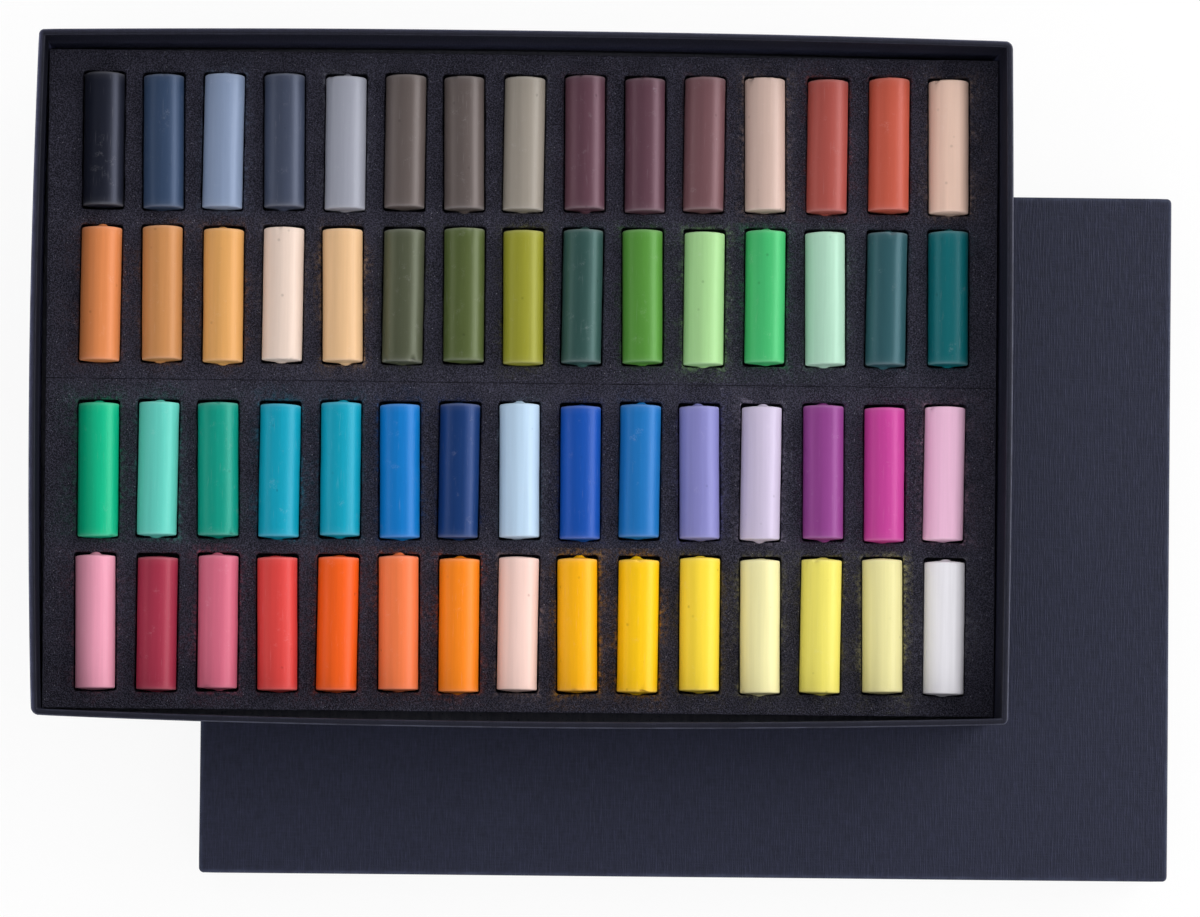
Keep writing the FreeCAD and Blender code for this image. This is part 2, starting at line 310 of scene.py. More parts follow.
def put_piece(name, points, faces, material, sharp=50):
    """A mesh object of those points and faces, turned so that its faces point outwards: the
    volume under them, a sixth of the sum of the triple products of their triangles, is positive."""
    corners = np.concatenate([f[:, [0, i, i + 1]] for f in faces for i in range(1, f.shape[1] - 1)])
    a, b, c = (points[corners[:, i]] for i in range(3))
    if (a * np.cross(b, c)).sum() < 0:
        faces = [f[:, ::-1] for f in faces]
    piece = put_mesh(name, points, [f for group in faces for f in group.tolist()], material)
    piece.data.set_sharp_from_angle(angle=math.radians(sharp))
    return piece


def mark(piece, name, values):
    """Keeps one number or one vector for each point of the piece, for its material to read."""
    values = np.asarray(values, np.float32)
    kind, field = ("FLOAT", "value") if values.ndim == 1 else ("FLOAT_VECTOR", "vector")
    layer = piece.data.attributes.new(name, kind, "POINT")
    layer.data.foreach_set(field, values.ravel())


# --- shader nodes -----------------------------------------
def add(tree, kind, sockets=None, **settings):
    """A shader node with those settings. Each socket gets a value or a link."""
    node = tree.nodes.new("ShaderNode" + kind)
    for name, value in settings.items():
        setattr(node, name, value)
    feed(node, sockets or {})
    return node


def feed(node, sockets):
    """Gives each named socket of the node its value or its link."""
    for name, value in sockets.items():
        if isinstance(value, bpy.types.NodeSocket):
            node.id_data.links.new(value, node.inputs[name])
        else:
            node.inputs[name].default_value = value


def calc(tree, operation, *values):
    """The result of a Math node."""
    return add(tree, "Math", dict(enumerate(values)), operation=operation).outputs[0]


def times(tree, first, second):
    """The product of two numbers."""
    return calc(tree, "MULTIPLY", first, second)


def scaled(tree, vector, scale):
    """The vector or colour times a number."""
    return add(tree, "VectorMath", {0: vector, "Scale": scale}, operation="SCALE").outputs[0]


def solid(colour):
    """A colour with full alpha, as sockets take it."""
    return (*colour, 1)


def remap(tree, value, low, high, to_low=0.0, to_high=1.0):
    """The value, moved from one range to another and held inside it."""
    sockets = {"Value": value, "From Min": low, "From Max": high, "To Min": to_low, "To Max": to_high}
    return add(tree, "MapRange", sockets).outputs["Result"]


def blend(tree, share, first, second):
    """Two colours mixed by that share of the second."""
    return add(tree, "Mix", {0: share, 6: first, 7: second}, data_type="RGBA").outputs[2]


def stretched(tree, vector, x, y, z):
    """The vector with each direction scaled on its own."""
    return add(tree, "Mapping", {"Vector": vector, "Scale": (x, y, z)}).outputs["Vector"]


def noise(tree, vector, scale, detail=2.0, roughness=0.5):
    """Cloudy noise of 0 to 1."""
    sockets = {"Vector": vector, "Scale": scale, "Detail": detail, "Roughness": roughness}
    return add(tree, "TexNoise", sockets).outputs["Fac"]


def spots(tree, vector, scale, channel):
    """The distance to the nearest of many scattered spots, and a number drawn for that spot."""
    cells = add(tree, "TexVoronoi", {"Vector": vector, "Scale": scale}).outputs
    drawn = add(tree, "SeparateColor", {0: cells["Color"]}).outputs[channel]
    return cells["Distance"], drawn


def new_group(name, inputs, outputs):
    """An empty node group that takes a place, Vector, and the named numbers, and gives the named
    numbers. Gives back the tree, its inputs by name and a call that fills its outputs."""
    tree = bpy.data.node_groups.new(name, "ShaderNodeTree")

    def socket(label, way, kind):
        return tree.interface.new_socket(label, in_out=way, socket_type="NodeSocket" + kind)

    socket("Vector", "INPUT", "Vector")
    for label, value in inputs.items():
        socket(label, "INPUT", "Float").default_value = value
    for label in outputs:
        socket(label, "OUTPUT", "Float")
    entry, leave = tree.nodes.new("NodeGroupInput"), tree.nodes.new("NodeGroupOutput")
    return tree, entry.outputs, lambda **values: feed(leave, values)


def grouped(tree, group, **sockets):
    """The outputs of a group placed in a material with its own values."""
    return add(tree, "Group", sockets, node_tree=group).outputs


def blank_material(name):
    """A material without nodes, and its tree."""
    material = bpy.data.materials.new(name)
    material.use_nodes = True
    material.node_tree.nodes.clear()
    return material, material.node_tree


def new_material(name, **surface):
    """A material with one Principled surface. Gives back the material, its tree and the surface."""
    material, tree = blank_material(name)
    shader = add(tree, "BsdfPrincipled")
    wire(shader, **surface)
    add(tree, "OutputMaterial", {"Surface": shader.outputs[0]})
    return material, tree, shader


def wire(shader, **sockets):
    """Gives the surface's sockets a value or a link; an underscore stands for a space."""
    feed(shader, {name.replace("_", " "): value for name, value in sockets.items()})


def bump(tree, height, distance, strength=1.0):
    """A normal that follows the height, whose 0 to 1 is distance high."""
    sockets = {"Height": height, "Distance": distance, "Strength": strength}
    return add(tree, "Bump", sockets).outputs["Normal"]


# --- finishes ---------------------------------------------
def make_weave():
    """Linen emboss: threads of uneven thickness in both directions, those along Y the stronger,
    as height and as shade."""
    tree, given, fill = new_group("linen_weave", {"Pitch": 0.8 * MM}, ("Height", "Slub"))
    per_metre = calc(tree, "DIVIDE", 1.0, given["Pitch"])
    sheet = scaled(tree, given["Vector"], per_metre)
    threads, slubs = [], []
    for along, across, weight in (((1.0, 0.12, 1.0), "X", 1.0), ((0.12, 1.0, 1.0), "Y", 0.6)):
        uneven = noise(tree, stretched(tree, sheet, *along), 1.3, 3.0, 0.75)
        wander = noise(tree, stretched(tree, sheet, *(0.5 * a for a in along)), 0.5, 2.0)
        axis = add(tree, "SeparateXYZ", {0: sheet}).outputs[across]
        shifted = calc(tree, "MULTIPLY_ADD", wander, 4.0, axis)
        thread = calc(tree, "ABSOLUTE", calc(tree, "SINE", times(tree, shifted, math.pi)))
        strength = remap(tree, uneven, 0.3, 0.7, 0.1 * weight, weight)
        threads.append(times(tree, calc(tree, "POWER", thread, 0.7), strength))
        slubs.append(times(tree, remap(tree, uneven, 0.3, 0.7), weight))
    fill(Height=calc(tree, "MAXIMUM", *threads), Slub=times(tree, calc(tree, "ADD", *slubs), 0.625))
    return tree


def make_wear_and_highlight():
    """Rubbed paper: where the Edge mark is high, patches of the pressed colour show through. Along the
    rim that lighter colour is also a painted highlight line.
    """
    tree, given, fill = new_group("edge_wear_and_highlight", {"Edge": 0.0, "Patch": 4 * MM}, ("Mask", "Scuff"))
    per_metre = calc(tree, "DIVIDE", 1.0, given["Patch"])
    patches = noise(tree, given["Vector"], per_metre, 5.0, 0.65)
    along = stretched(tree, given["Vector"], 1.0, 0.35, 1.0)
    scuffs = noise(tree, along, times(tree, per_metre, 0.3), 6.0, 0.7)
    fill(Mask=times(tree, given["Edge"], remap(tree, patches, 0.3, 0.62)),
         Scuff=remap(tree, scuffs, 0.58, 0.8))
    return tree


def make_cells():
    """Cut open-cell foam with its fine light and shade painted: painted shade in the pores, painted
    highlights on the struts between them, and a painted glint on the odd strut.
    """
    tree, given, fill = new_group("foam_cells", {"Cell": 0.5 * MM}, ("Height", "Shade", "Glint"))
    here = given["Vector"]
    per_metre = calc(tree, "DIVIDE", 1.0, given["Cell"])
    pores = add(tree, "TexVoronoi", {"Vector": here, "Scale": per_metre}).outputs["Distance"]
    fine = noise(tree, here, times(tree, per_metre, 1.7), 3.0, 0.65)
    broad = noise(tree, here, times(tree, per_metre, 0.06), 2.0)
    mixed = times(tree, remap(tree, pores, 0.25, 0.65), remap(tree, fine, 0.38, 0.62))
    away, lone = spots(tree, here, times(tree, per_metre, 0.9), "Red")
    glint = times(tree, remap(tree, lone, 0.96, 0.98), remap(tree, away, 0.35, 0.1))
    fill(Height=mixed, Shade=calc(tree, "MULTIPLY_ADD", broad, 0.25, mixed), Glint=glint)
    return tree


def make_chalk():
    """Pressed pastel: faint streaks and hair scratches along the stick, a few scuffs and pits."""
    tree, given, fill = new_group("pressed_chalk", {"Edge": 0.0}, ("Streak", "Dust", "Pit", "Height"))
    here = given["Vector"]
    streak = noise(tree, stretched(tree, here, 1.0, 0.03, 1.0), 700.0, 3.0, 0.6)
    hair = noise(tree, stretched(tree, here, 1.0, 0.06, 1.0), 3000.0, 1.0, 0.5)
    grain = noise(tree, here, 2600.0, 2.0, 0.6)
    rings = noise(tree, stretched(tree, here, 0.12, 1.0, 0.12), 1500.0, 2.0, 0.7)
    away, chosen = spots(tree, here, 420.0, "Green")
    pit = times(tree, remap(tree, chosen, 0.93, 0.96), remap(tree, away, 0.22, 0.06))
    rubs = remap(tree, noise(tree, here, 260.0, 5.0, 0.7), 0.6, 0.72)
    scuff = times(tree, rubs, remap(tree, grain, 0.4, 0.6))
    scratch = remap(tree, hair, 0.68, 0.78, 0.0, 0.5)
    rough = calc(tree, "MULTIPLY_ADD", grain, 0.3, times(tree, streak, 0.4))
    lowered = calc(tree, "MULTIPLY_ADD", pit, -1.6, rough)
    loose = calc(tree, "MAXIMUM", scuff, scratch)
    dust = calc(tree, "MAXIMUM", loose, times(tree, given["Edge"], 0.9))
    fill(Streak=remap(tree, streak, 0.3, 0.7), Dust=dust, Pit=pit,
         Height=calc(tree, "MULTIPLY_ADD", remap(tree, rings, 0.66, 0.8), -0.4, lowered))
    return tree


WEAVE, WEAR_AND_HIGHLIGHT, CELLS, CHALK_BODY = make_weave(), make_wear_and_highlight(), make_cells(), make_chalk()
PAPER_ROUGHNESS = 0.5
PAPER_SHEEN = 0.26


def object_place(tree):
    """Object coordinates."""
    return add(tree, "TexCoord").outputs["Object"]


def kept(tree, name, output="Fac"):
    """What the mesh keeps for its points under that name."""
    return add(tree, "Attribute", attribute_name=name).outputs[output]


def paper_material(name, base, pressed, pitch, depth):
    """Dyed paper, embossed with a linen weave. Folds are rubbed towards the pressed colour, and along the
    rim that lighter colour is also a painted highlight line. A mark for each point paints light and
    shade into the colour as a factor, and the sheen falls with it where the paint is dark."""
    material, tree, shader = new_material(name)
    sheet = add(tree, "UVMap", uv_map="sheet").outputs["UV"]
    here = object_place(tree)
    weave = grouped(tree, WEAVE, Vector=sheet, Pitch=pitch)
    worn_and_lit = grouped(tree, WEAR_AND_HIGHLIGHT, Vector=here, Edge=kept(tree, "edge"), Patch=6 * MM)
    broad = noise(tree, here, 14.0, 3.0)
    ground = blend(tree, weave["Slub"], solid(base * 0.55), solid(base * 1.6))
    ground = blend(tree, remap(tree, broad, 0.35, 0.65, 0.0, 0.15), ground, solid(base * 1.35))
    # Rubbed folds; along the rim the same lighter colour is also a painted highlight line.
    edge_worn_and_lit = blend(tree, times(tree, worn_and_lit["Mask"], 0.65), ground, solid(pressed))
    rubbed = blend(tree, times(tree, worn_and_lit["Scuff"], 0.06), edge_worn_and_lit, solid(pressed))
    # Painted light and shade: a factor on the colour, and the sheen falls with it below 1.
    painted_tone = kept(tree, "painted_tone")
    wire(shader, Base_Color=scaled(tree, rubbed, painted_tone),
         Roughness=remap(tree, weave["Height"], 0.2, 1.0, PAPER_ROUGHNESS + 0.12, PAPER_ROUGHNESS),
         Specular_IOR_Level=remap(tree, painted_tone, 0.0, 1.0, 0.0, PAPER_SHEEN),
         Normal=bump(tree, weave["Height"], depth))
    return material


def foam_material():
    """Black open-cell foam with stray chalk dust round each stick. On the lips and down the slots the
    stick's colour is also painted bounced light.
    """
    material, tree, shader = new_material("black_foam", Roughness=0.9, Specular_IOR_Level=0.1)
    here = object_place(tree)
    cells = grouped(tree, CELLS, Vector=here, Cell=0.45 * MM)
    # Painted shade in the pores up to painted highlights on the struts, then the painted glints.
    ground = blend(tree, cells["Shade"], solid(linear((11, 11, 18))), solid(linear((79, 78, 95))))
    ground = blend(tree, cells["Glint"], ground, solid(linear((140, 138, 150))))
    spread = noise(tree, here, 900.0, 4.0, 0.7)
    patches = remap(tree, noise(tree, here, 110.0, 2.0), 0.35, 0.65)
    speckled = times(tree, remap(tree, spread, 0.44, 0.68), patches)
    amount = times(tree, kept(tree, "dust"), speckled)
    # Chalk dust, and on the lips and slot walls the stick's colour as painted bounced light.
    dust_and_bounce = blend(tree, amount, ground, kept(tree, "dust_and_bounce_colour", "Vector"))
    wire(shader, Base_Color=dust_and_bounce, Normal=bump(tree, cells["Height"], 0.25 * MM, 0.8))
    return material


def pastel_material(name, *batches):
    """Pressed pigment and chalk: matt, with streaks, pits darkened as painted shade, loose chalk and
    paler rims. The sheen is half drawn to the colour. The mark "batch" of a stick chooses between two
    colours."""
    gloss = 0.5 + 0.5 * batches[0] / batches[0].max()
    material, tree, shader = new_material(name, Specular_IOR_Level=0.34, Specular_Tint=solid(gloss))
    body = grouped(tree, CHALK_BODY, Vector=object_place(tree), Edge=kept(tree, "edge"))
    mixed = []
    for colour in batches:
        pale = colour + (linear(CHALK) - colour) * 0.16
        streaked = blend(tree, body["Streak"], solid(colour * 0.95), solid(colour * 1.05))
        dusted = blend(tree, times(tree, body["Dust"], 0.55), streaked, solid(pale))
        # Pits take half the colour: painted shade in the hollows.
        mixed.append(blend(tree, times(tree, body["Pit"], 0.5), dusted, solid(colour * 0.5)))
    if len(mixed) > 1:
        mixed[0] = blend(tree, kept(tree, "batch"), *mixed)
    wire(shader, Base_Color=mixed[0], Roughness=remap(tree, body["Dust"], 0.0, 1.0, 0.42, 0.6),
         Normal=bump(tree, body["Height"], 0.04 * MM))
    return material


def board_material(name, pale, dark, fibre):
    """Pulp board or kraft strip: fibres and flecks in two tones."""
    material, tree, shader = new_material(name, Roughness=0.85, Specular_IOR_Level=0.2)
    here = object_place(tree)
    fibres = noise(tree, stretched(tree, here, 1.0, 0.3, 1.0), fibre, 5.0, 0.7)
    flecks = remap(tree, noise(tree, here, fibre * 1.6, 2.0, 0.8), 0.62, 0.72)
    pulp = blend(tree, remap(tree, fibres, 0.3, 0.7), solid(linear(dark)), solid(linear(pale)))
    wire(shader, Base_Color=blend(tree, flecks, pulp, solid(linear(dark) * 0.5)),
         Normal=bump(tree, fibres, 0.08 * MM))
    return material


# --- box halves -------------------------------------------
WALL_STEPS = (96, 68)
CORNER_STEPS = 6
SPANS = [2 * CORNER_STEPS + run for run in WALL_STEPS * 2]
# 1 at the columns of a ring that lie on a rounded corner, and 0 along the walls.
AT_CORNER = np.concatenate([
    [1.0] * (CORNER_STEPS + 1) + [0.0] * (run - 1) + [1.0] * CORNER_STEPS for run in WALL_STEPS * 2
])
HIDDEN_ROWS = 5  # of the profile, on the board's side
SHARPEST = 0.12 * MM  # the least radius of an inset corner


def wrap_profile(height, turn_in):
    """Section of the wrap from its panel's middle to the turned-in edge and back inside, as inset
    from the wall's outer face, height over the panel, share of the way to the panel's middle and
    nearness to a fold. Folds and rim are quarter circles. On the rim that nearness peaks halfway
    round the quarter circle, where the paper's wear colour is also a painted highlight line."""
    quarter = np.radians(np.linspace(0, 90, 7))
    near_fold = ((1.2 * MM, 0.0), (0.5 * MM, 0.1), (0.2 * MM, 0.4))
    rows = [(FOLD_R, 0.0, share, 0.0) for share in np.linspace(0.98, 0.06, 12)]
    rows += [(FOLD_R + away, 0.0, 0.0, near) for away, near in near_fold]
    rows += [(FOLD_R * (1 - math.sin(a)), FOLD_R * (1 - math.cos(a)), 0.0, 0.6) for a in quarter]
    up = np.linspace(0, 1, 12)[1:-1]
    rows += [(0.0, FOLD_R + (height - RIM_R - FOLD_R) * f, 0.0, 0.0) for f in up]
    # The rim's mark peaks halfway round: wear, and a painted highlight line there.
    rows += [(RIM_R * (1 - math.cos(a)), height - RIM_R * (1 - math.sin(a)), 0.0, math.sin(2 * a) ** 6)
             for a in quarter]
    inner = [(WALL_T - x, z, share, 0.35 * near) for x, z, share, near in rows[-len(quarter):]]
    rows += inner[::-1]
    rows += [(WALL_T, height - RIM_R - (turn_in - RIM_R) * f, 0.0, 0.0) for f in np.linspace(0.1, 1, 8)]
    hidden = ((WALL_T - PAPER_T, height - turn_in, 0.0), (WALL_T - PAPER_T, height - PAPER_T, 0.0),
              (PAPER_T, height - PAPER_T, 0.0), (PAPER_T, PAPER_T, 0.0), (PAPER_T, PAPER_T, 0.98))
    rows += [(*place, 0.0) for place in hidden]
    return np.array(rows)


def wrapped_sheet(half, material, corners, turn_in, bow, painted_tones):
    """One sheet of paper round a box half: the profile is carried round the bowed outline, and
    every ring of it is the outline set in by the profile's inset. The lid lies upside down. The
    sheet's own flat place is kept as UV: the panel as it is, and each wall folded out beyond it."""
    node = half + "_wrap"
    seed = SEEDS[node]
    front, right, back, left = bow
    low, high = box(node)
    low, high = low + [left, front, 0.0], high - [right, back, 0.0]
    width, depth, height = high - low
    middle = (low + high) / 2
    profile = wrap_profile(height, turn_in)
    rings = []
    for inset, z, share, _ in profile:
        radii = np.maximum(corners - inset, SHARPEST)
        flat, out = rounded_ring(width - 2 * inset, depth - 2 * inset, radii, WALL_STEPS, CORNER_STEPS)
        reach = np.where(out > 0, (right, back), (left, front))
        swell = reach * (1 - (2 * flat[:, ::-1] / np.array([depth, width])) ** 2)
        rings.append(raised((flat + out * swell) * (1 - share), z))
    rings = np.array(rings)
    wall = (profile[:, 2] == 0) & (profile[:, 0] < WALL_T)
    shown = np.arange(len(profile)) < len(profile) - HIDDEN_ROWS
    crease = np.abs(np.sin(np.arange(rings.shape[1]) * 1.9)) * AT_CORNER * CREASE
    give = np.where((wall & shown)[:, None], dent(rings, WALL_WAVES, seed) - crease, 0.0)
    _, out = rounded_ring(width, depth, corners, WALL_STEPS, CORNER_STEPS)
    rings[:, :, :2] += out[None] * give[:, :, None]
    rise = np.where(shown, profile[:, 1] / height, 0.0)[:, None]
    rings[:, :, 2] += rise * dent(rings[:, :, :2], RIM_WAVES, seed + 1)
    if half == "lid":
        rings[:, :, 2] = height - rings[:, :, 2]
    points, faces = closed_stack(rings + np.array([middle[0], middle[1], low[2]]))
    piece = put_piece(half + "_paper", points, faces, material)
    mark(piece, "edge", np.append(np.repeat(profile[:, 3], rings.shape[1]), [0.0, 0.0]))
    # Painted light and shade on the paper, wall by wall and depth by depth.
    mark(piece, "painted_tone", np.append(painted_light_and_shade(profile, height, out, painted_tones).ravel(), [1.0, 1.0]))
    lay_sheet(piece, points, profile, width, depth, middle)
    return settle(piece, half, node)


def painted_light_and_shade(profile, height, out, painted_tones):
    """Painted light and shade as a factor on the paper's colour, (rings, around): the tones of the four
    walls, mixed at a corner by the square of how far it faces each wall, and run through from one knot
    of the profile to the next."""
    inset, z, share, _ = profile.T
    knot = np.interp(inset, RIM_KNOTS, range(4))
    knot = np.where(inset >= WALL_T, 3 + np.interp(height - z, PAINTED_TONE_DEPTHS, range(4)), knot)
    knot = np.where(share > 0, 0.0, knot)
    below = np.minimum(knot.astype(int), len(painted_tones) - 2)
    part = (knot - below)[:, None]
    at_ring = painted_tones[below] * (1 - part) + painted_tones[below + 1] * part
    facing = np.maximum(np.column_stack([-out[:, 1], out[:, 0], out[:, 1], -out[:, 0]]), 0) ** 2
    return at_ring @ facing.T


def read(items, name):
    """That whole number of every item of a mesh."""
    values = np.zeros(len(items), np.int32)
    items.foreach_get(name, values)
    return values


def lay_sheet(piece, points, profile, width, depth, middle):
    """Writes the UV map "sheet" in metres: x and y on the panel, and on a wall the way along it
    and the way down it, beyond the panel's edge."""
    mesh = piece.data
    around = (len(points) - 2) // len(profile)
    loops = read(mesh.loops, "vertex_index")
    totals = read(mesh.polygons, "loop_total")
    face_of = np.repeat(np.arange(len(totals)), totals)
    ring = np.minimum(loops // around, len(profile) - 1)
    side = np.searchsorted(np.cumsum(SPANS), face_of % around, side="right")
    local = points[loops, :2] - middle[:2]
    run = np.concatenate([[0.0], np.cumsum(np.hypot(*np.diff(profile[:, :2], axis=0).T))])
    fold = int(np.argmax(profile[:, 1] > 0)) - 1
    down = (run - run[fold])[ring]
    folded = np.sign(local) * (np.array([width, depth]) / 2 + down[:, None])
    face_ring = face_of // around
    panel = (face_ring >= len(profile) - 1) | (face_ring < fold)
    kept_flat = panel[:, None] | (side[:, None] % 2 == np.arange(2))
    flat = np.where(kept_flat, local, folded)
    layer = mesh.uv_layers.new(name="sheet")
    layer.data.foreach_set("uv", flat.astype(np.float32).ravel())


def settle(piece, body, node):
    """The piece rides on its body and stands for its CAD node, which it hides."""
    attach(piece, body)
    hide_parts(node)
    return piece


# --- foam -------------------------------------------------
LIP_STEPS = (12, 26)
LIP_BEND = 3


def lay(number):
    """How a stick lies, by its number: its length, its turn and its place off the slot's middle."""
    angle = number * GOLDEN
    length = STICK_L + STICK_L_SPREAD * math.sin(3 * angle)
    nudge = np.array([NUDGE_X * math.cos(2 * angle), NUDGE_Y * math.cos(angle) - SETTLE_Y])
    return length, LEAN * math.sin(angle), nudge


def slot_middles(node):
    """Middles of a pad's slots, (2 rows from the back, 15 columns, 2)."""
    low, high = box(node)
    shift, climb = SLOT_SET[node]
    across = np.arange(COLUMNS) / (COLUMNS - 1)
    x = low[0] + MARGIN_LEFT + SLOT[0] / 2 + np.arange(COLUMNS) * (SLOT[0] + RIB)
    x = x + shift - SLOT_DRIFT * np.sin(math.pi * across ** 1.7) ** 2
    if node == "foam_pad_back":
        back = high[1] - MARGIN_WALL - SLOT[1] / 2
    else:
        back = low[1] + MARGIN_WALL + SLOT[1] * 1.5 + RAIL
    y = back - np.arange(2)[:, None] * (SLOT[1] + RAIL) + climb * (across - 0.5)
    return np.stack(np.broadcast_arrays(x[None, :], y), -1)


def tile_ring():
    """The lip's points pushed out to the unit square, so that the tiles' edges meet."""
    ring, _ = rounded_ring(SLOT[0], SLOT[1], SLOT_CORNER_R, LIP_STEPS, LIP_BEND)
    side = np.repeat(np.arange(4), [2 * LIP_BEND + run for run in LIP_STEPS * 2])
    reach = np.abs(ring[0])
    fixed = np.array([-1.0, 1.0, 1.0, -1.0])[side]
    x = np.where(side % 2 == 0, ring[:, 0] / reach[0], fixed)
    y = np.where(side % 2 == 1, ring[:, 1] / reach[1], fixed)
    return np.stack([x, y], 1)


def slot_tile(edges, middle, number, low_z, high_z):
    """Foam round one slot, as rings from the tile's edge over the rolled lip, down the slot and
    back out below. The lip hugs the stick, which lies a little off the middle and turned."""
    _, turn, nudge = lay(number)
    square = tile_ring()
    corner_low, corner_high = edges
    rim = corner_low + (square + 1) / 2 * (corner_high - corner_low)
    half = np.array([STICK_R, STICK_L / 2]) + LIP_ROOM
    spot = middle + nudge * [1.0, 0.5]

    def lip(grow, ragged):
        ring, out = rounded_ring(*(2 * (half + grow)), SLOT_CORNER_R + grow, LIP_STEPS, LIP_BEND)
        place = turned(ring, turn) + spot
        cut = ripple(raised(place, ragged), LIP_WAVES[0], number) * LIP_WAVES[1]
        return place + out * cut[:, None]

    rings, dust = [], []

    def lay_ring(flat, z, chalk):
        rings.append(raised(flat, z))
        dust.append(np.broadcast_to(chalk, len(flat)))

    outer = lip(LIP_R, high_z)
    for share in (0.0, 0.2, 0.42, 0.62, 0.78, 0.9, 1.0):
        flat = rim + (outer - rim) * share
        away = np.linalg.norm(flat - outer, axis=1)
        lay_ring(flat, high_z, sum(part * np.exp(-away / reach) for part, reach in DUST_FALL))
    # The lip and slot walls take the stick's colour: chalk dust, and painted bounced light.
    for angle in np.radians([30, 60, 90]):
        drop = LIP_R * (1 - math.cos(angle))
        lay_ring(lip(LIP_R * (1 - math.sin(angle)), high_z), high_z - drop, LIP_DUST_AND_BOUNCE)
    for share in (0.15, 0.4, 0.7, 1.0):
        z = high_z - LIP_R + (low_z - high_z + LIP_R) * share
        lay_ring(lip(SLOT_WAIST * math.sin(math.pi * share), z), z, LIP_DUST_AND_BOUNCE * (1 - share))
    lay_ring(rim, low_z, 0.0)
    return np.array(rings), np.array(dust)


def pad_edge(low, high, columns, rows):
    """The rolled edge round a pad, as rings from its top inwards of the edge, over and down the
    cut side and back under: the pad's outline scaled about its middle to each inset."""
    square = tile_ring()
    step = square[:2 * LIP_BEND + LIP_STEPS[0], 0]
    rise = square[2 * LIP_BEND + LIP_STEPS[0]:4 * LIP_BEND + sum(LIP_STEPS), 1]

    def along(steps, marks):
        return np.concatenate([a + (steps + 1) / 2 * (b - a) for a, b in zip(marks[:-1], marks[1:])])

    loop = np.concatenate([
        raised(along(step, columns), rows[0]),
        raised(along(rise, rows), columns[-1])[:, ::-1],
        raised(along(step, columns[::-1]), rows[-1]),
        raised(along(rise, rows[::-1]), columns[0])[:, ::-1],
    ])
    middle = (low[:2] + high[:2]) / 2
    half = (high[:2] - low[:2]) / 2
    base, top = low[2], high[2]
    section = ((1.0, top), (0.35, top - 0.01 * MM), (0.1, top - 0.03 * MM), (0.0, top - 0.1 * MM),
               (0.05, (base + top) / 2), (0.0, base + 0.3 * MM), (1.0, base))
    rings = []
    for inset, z in section:
        scale = (half - inset * FOAM_EDGE) / (half - FOAM_EDGE)
        ring = middle + (loop - middle) * scale
        cut = dent(raised(ring, z), CUT_WAVES, CUT_SEED) * (1 - inset)
        at_edge = np.abs(ring - middle) > half - FOAM_EDGE * 1.01
        rings.append(raised(ring + np.sign(ring - middle) * at_edge * cut[:, None], z))
    return np.array(rings)


def foam_pad(node, first_number, material):
    """A slotted pad: thirty tiles, each the foam round one slot, and the rolled edge round them,
    welded where they meet. Its top is a little uneven and dips towards each stick."""
    low, high = box(node)
    middles = slot_middles(node)
    x, y = middles[0, :, 0], middles[::-1, :, 1].mean(1)
    columns = np.concatenate([[low[0] + FOAM_EDGE], (x[:-1] + x[1:]) / 2, [high[0] - FOAM_EDGE]])
    rows = np.array([low[1] + FOAM_EDGE, (y[0] + y[1]) / 2, high[1] - FOAM_EDGE])
    seed = SEEDS[node]
    rng = np.random.default_rng(seed)
    points, faces, dust, colours, used = [], [], [], [], 0
    for row in range(2):
        for column in range(COLUMNS):
            number = first_number + row * COLUMNS + column
            edges = (np.array([columns[column], rows[1 - row]]),
                     np.array([columns[column + 1], rows[2 - row]]))
            tile, near = slot_tile(edges, middles[row, column], number, low[2], high[2])
            points.append(tile.reshape(-1, 3))
            faces.append(stack_faces(*tile.shape[:2]) + used)
            used += near.size
            dust.append(near.ravel() * rng.uniform(*DUST_SPREAD))
            colour = tint_colour(*TINTS[ROWS[number // COLUMNS][column]])
            colours.append(np.broadcast_to(colour, (near.size, 3)))
    edge = pad_edge(low, high, columns, rows)
    points.append(edge.reshape(-1, 3))
    faces.append(stack_faces(*edge.shape[:2])[:, ::-1] + used)
    dust.append(np.zeros(len(points[-1])))
    colours.append(np.full(points[-1].shape, PLAIN_DUST))
    points, dust = np.concatenate(points), np.concatenate(dust)
    top = np.clip((points[:, 2] - low[2]) / (high[2] - low[2]) * 4 - 3, 0, 1)
    sag = dent(points[:, :2], FOAM_SWELL, seed) + dent(points[:, :2], FOAM_GRAIN, seed + 1)
    points[:, 2] += top * (sag - DUST_DIP * dust)
    name = node.replace("foam_pad", "slotted_foam")
    piece = put_piece(name, points, [np.concatenate(faces)], material, sharp=60)
    mark(piece, "dust", dust)
    mark(piece, "dust_and_bounce_colour", np.concatenate(colours))
    weld(piece)
    return settle(piece, "tray", node)


def weld(piece):
    """Joins points that lie on each other."""
    mesh = bmesh.new()
    mesh.from_mesh(piece.data)
    bmesh.ops.remove_doubles(mesh, verts=mesh.verts, dist=0.004 * MM)
    mesh.to_mesh(piece.data)
    mesh.free()


